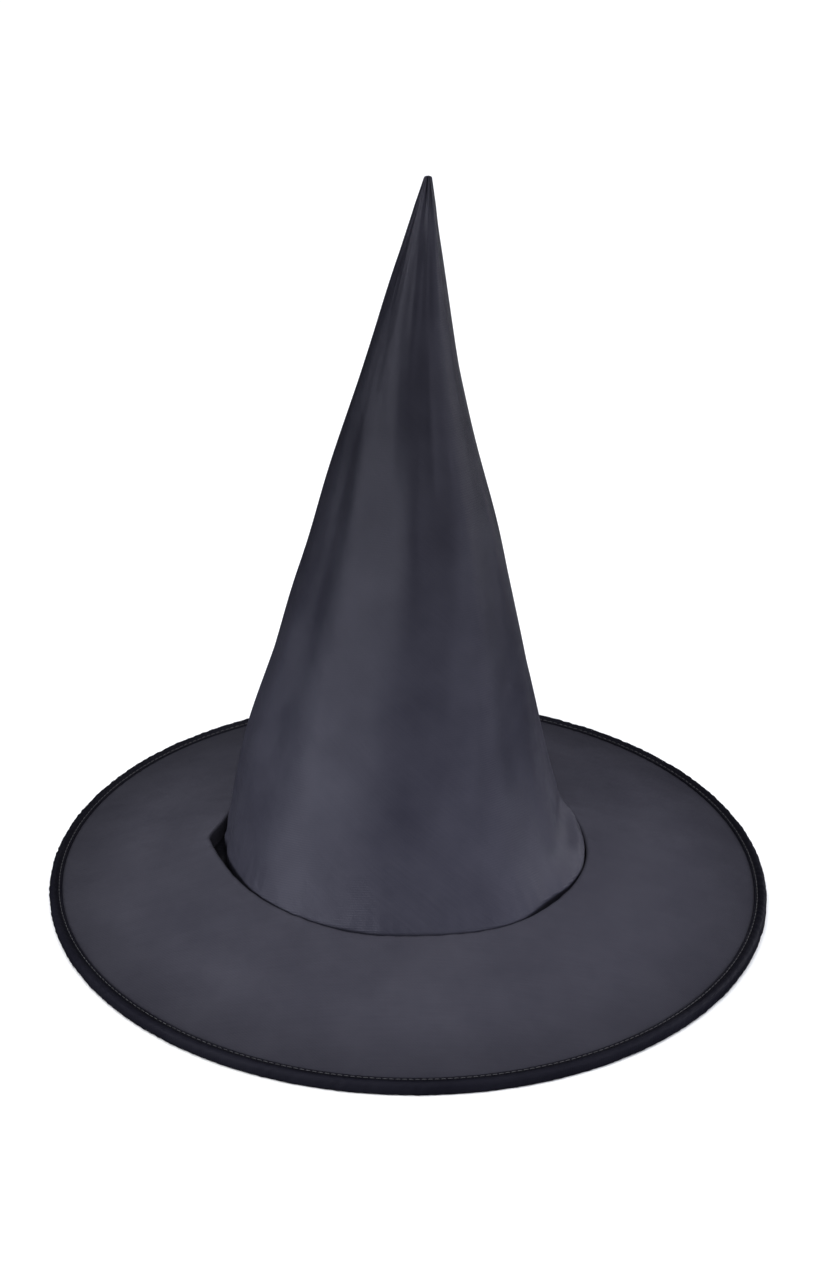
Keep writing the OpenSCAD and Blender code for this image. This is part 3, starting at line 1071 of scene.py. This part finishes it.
def upright_band(name, columns, radius, thick, low, high, edge_wave):
    """A ring of ribbon or turned-down cloth that stands on edge. low and high are from the seam."""
    share = np.linspace(0, 1, 9)[:, None]
    seam = seam_height(columns)
    wave = edge_wave * ripple(columns, (31, 47, 63, 90), 61)
    height = seam + low + (high - low) * share + wave * (1 - rise(share, 0, 0.6))
    bow = 0.25 * np.sin(np.pi * share) * ripple(columns, (6, 10, 15), 62)
    faces = [polar(radius - inset + bow, columns[None], height, CROWN_X) for inset in (0, thick)]
    return strip(name, faces)


def make_head_opening():
    """The seam's turned-down edges, and the sweatband in front of them."""
    columns = columns_round(480)
    edges_r = smooth_ring(HOLE, columns) - seam_gap(columns) - THIRD_PLY_IN
    ribbon_r = band_radius(columns)
    return (
        upright_band("turned_edges", columns, edges_r, EDGES_T, EDGES_LOW, EDGES_HIGH, 0.35),
        upright_band("head_ribbon", columns, ribbon_r, RIBBON_T, BAND_TOP - BAND_W, BAND_TOP, 0.1),
    )


def make_label():
    """A blank care label that stands above the sweatband beside the back seam, curling a little."""
    up = np.linspace(label_low[2], label_high[2], 25)[:, None]
    across = np.linspace(label_low[0], label_high[0], 21)
    share = np.linspace(0, 1, len(up))[:, None]
    inset = THIRD_PLY_IN + SEAM_T + PLY_GAP
    angle = BACK - np.degrees(np.arcsin((across - CROWN_X) / (cone_radius(up) - LABEL_IN)))
    curl = 1.6 * share ** 2 + 0.5 * share * np.sin(across / 6)
    height = np.broadcast_to(up, angle.shape)
    faces = inner_faces(angle, height, (inset, inset + LABEL_T), curl)
    return strip("blank_label", faces, ring=False)


# --- Stitching ---

# Places of the binding's stitches: inside the middle of its roll, and above the brim
GROOVE_IN = 2.65
GROOVE_UP = 0.95
# Depth below the seam of the stitches that join the crown to the brim
JOIN_DOWN = 4.6


def upward(angles):
    """Straight up, once for each angle."""
    return np.tile([0.0, 0.0, 1.0], (len(angles), 1))


def outward(angles):
    """Level and away from the axis."""
    return polar(1, angles, 0)


def inward(angles):
    """Level and towards the axis."""
    return -outward(angles)


def groove_line(angles):
    """The line of stitches through the binding's upper lip, inside its roll."""
    x, y = polar(BINDING_R - GROOVE_IN, angles, 0)[:, :2].T
    return np.stack([x, y, brim_plane(x, y) + GROOVE_UP], axis=-1)


def join_line(angles):
    """The line of stitches that joins the crown to the brim."""
    x, y = hole_point(angles, 2 * CLOTH_T + PLY_GAP + 0.12)
    return np.stack([x, y, seam_height(angles) - JOIN_DOWN], axis=-1)


def ribbon_line(angles):
    """The line of stitches along the sweatband, just above the seam."""
    radius = band_radius(angles) - RIBBON_T - 0.05
    return polar(radius, angles, seam_height(angles) + 0.1, CROWN_X)


def make_stitches():
    """Rows of stitches at the binding, in the seam between crown and brim, and along the sweatband,
    where they slant."""
    straight = np.zeros(3)
    slanted = np.array([0, 0, 1.2])
    return (
        ring_stitches("rim_stitches", groove_line, 3.2, 0.72, straight, upward),
        ring_stitches("crown_join_stitches", join_line, 2.8, 0.75, straight, outward),
        ring_stitches("ribbon_stitches", ribbon_line, 3.4, 0.4, slanted, inward),
    )


# --- Putting it together ---

def finish_piece(piece, material, slot, *nodes):
    """Gives a piece its material, and hides the CAD nodes that it stands for. slot is not used."""
    piece.data.materials.append(material)
    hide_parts(*nodes)


def bend(piece):
    """Moves a piece's placement into its mesh, leaving the object at the origin."""
    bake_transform(piece)


# The crown's cloth gets painted light and shade by height
crown_cloth_painted_shade = cloth_material(
    "crown_cloth_painted_shade", (0.0097, 0.0097, 0.0149), (0.0178, 0.0179, 0.025), 0.36, 0.16, painted_height_shade
)
# The brim's cloth gets painted shade towards its rim
brim_cloth_painted_shade = cloth_material(
    "brim_cloth_painted_shade", (0.0272, 0.0268, 0.0362), (0.0381, 0.0376, 0.0488), 0.55, 0.04, painted_rim_shade
)
seam_cloth = cloth_material("seam_edges", (0.03, 0.03, 0.041), (0.04, 0.04, 0.053), 0.65, 0.12, turned=45)
tape_cloth = cloth_material(
    "binding_tape", (0.003, 0.003, 0.0055), (0.006, 0.006, 0.0095), 0.5, 0.06, turned=45
)
stiffener = stiffener_material()
thread = thread_material()
ribbon = ribbon_material()
label_tape = label_material()

make_camera()

crown_cloth = make_crown()
tip_cloth = make_tip()
finish_piece(crown_cloth, crown_cloth_painted_shade, "hat_cloth", "crown_cloth_lower", "crown_cloth_middle")
finish_piece(tip_cloth, crown_cloth_painted_shade, "hat_cloth", "crown_cloth_tip")

crown_stiffening, tip_stiffening = make_crown_stiffener()
finish_piece(crown_stiffening, stiffener, "stiffener", "crown_stiffener_lower", "crown_stiffener_middle")
finish_piece(tip_stiffening, stiffener, "stiffener", "crown_stiffener_tip")

back_seam_edges = seam_edges("back_seam_edges", SEAM_START_H, SPLIT_H)
tip_seam_edges = seam_edges("tip_seam_edges", SPLIT_H, SEAM_END_H)
finish_piece(back_seam_edges, seam_cloth, "seam_edges", "crown_seam_lower", "crown_seam_middle")
finish_piece(tip_seam_edges, seam_cloth, "seam_edges", "crown_seam_tip")

brim_cloth, brim_core, brim_under = make_brim()
finish_piece(brim_cloth, brim_cloth_painted_shade, "hat_cloth", "brim_top_cloth")
finish_piece(brim_core, stiffener, "stiffener", "brim_stiffener")
finish_piece(brim_under, brim_cloth_painted_shade, "hat_cloth", "brim_under_cloth")

rim_roll = make_binding()
finish_piece(rim_roll, tape_cloth, "binding_tape", "rim_binding")

turned_edges, head_ribbon = make_head_opening()
finish_piece(turned_edges, seam_cloth, "seam_edges", "seam_allowance")
finish_piece(head_ribbon, ribbon, "ribbon", "sweatband")

blank_label = make_label()
finish_piece(blank_label, label_tape, "label_tape", "care_label")

rim_stitches, crown_join_stitches, ribbon_stitches = make_stitches()
finish_piece(rim_stitches, thread, "sewing_thread", "binding_thread")
finish_piece(crown_join_stitches, thread, "sewing_thread", "crown_join_thread")
finish_piece(ribbon_stitches, thread, "sewing_thread", "sweatband_thread")

steel = metal_material("spring_steel", (0.52, 0.53, 0.55), 0.0006, 0.32)
crimped = metal_material("crimped_metal", (0.62, 0.63, 0.65), 0.0012, 0.4)
for node_name, material in (("rim_hoop", steel), ("hoop_sleeve", crimped)):
    for material_slot in frame["nodes"][node_name].material_slots:
        material_slot.material = material

for piece in (crown_cloth, crown_stiffening, back_seam_edges):
    bend(piece)
for piece in (tip_cloth, tip_stiffening, tip_seam_edges):
    bend(piece)
for piece in (
    brim_cloth, brim_core, brim_under, rim_roll, turned_edges, head_ribbon, blank_label,
    rim_stitches, crown_join_stitches, ribbon_stitches,
):
    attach(piece, "base")

make_floor()
make_lights()
make_world()
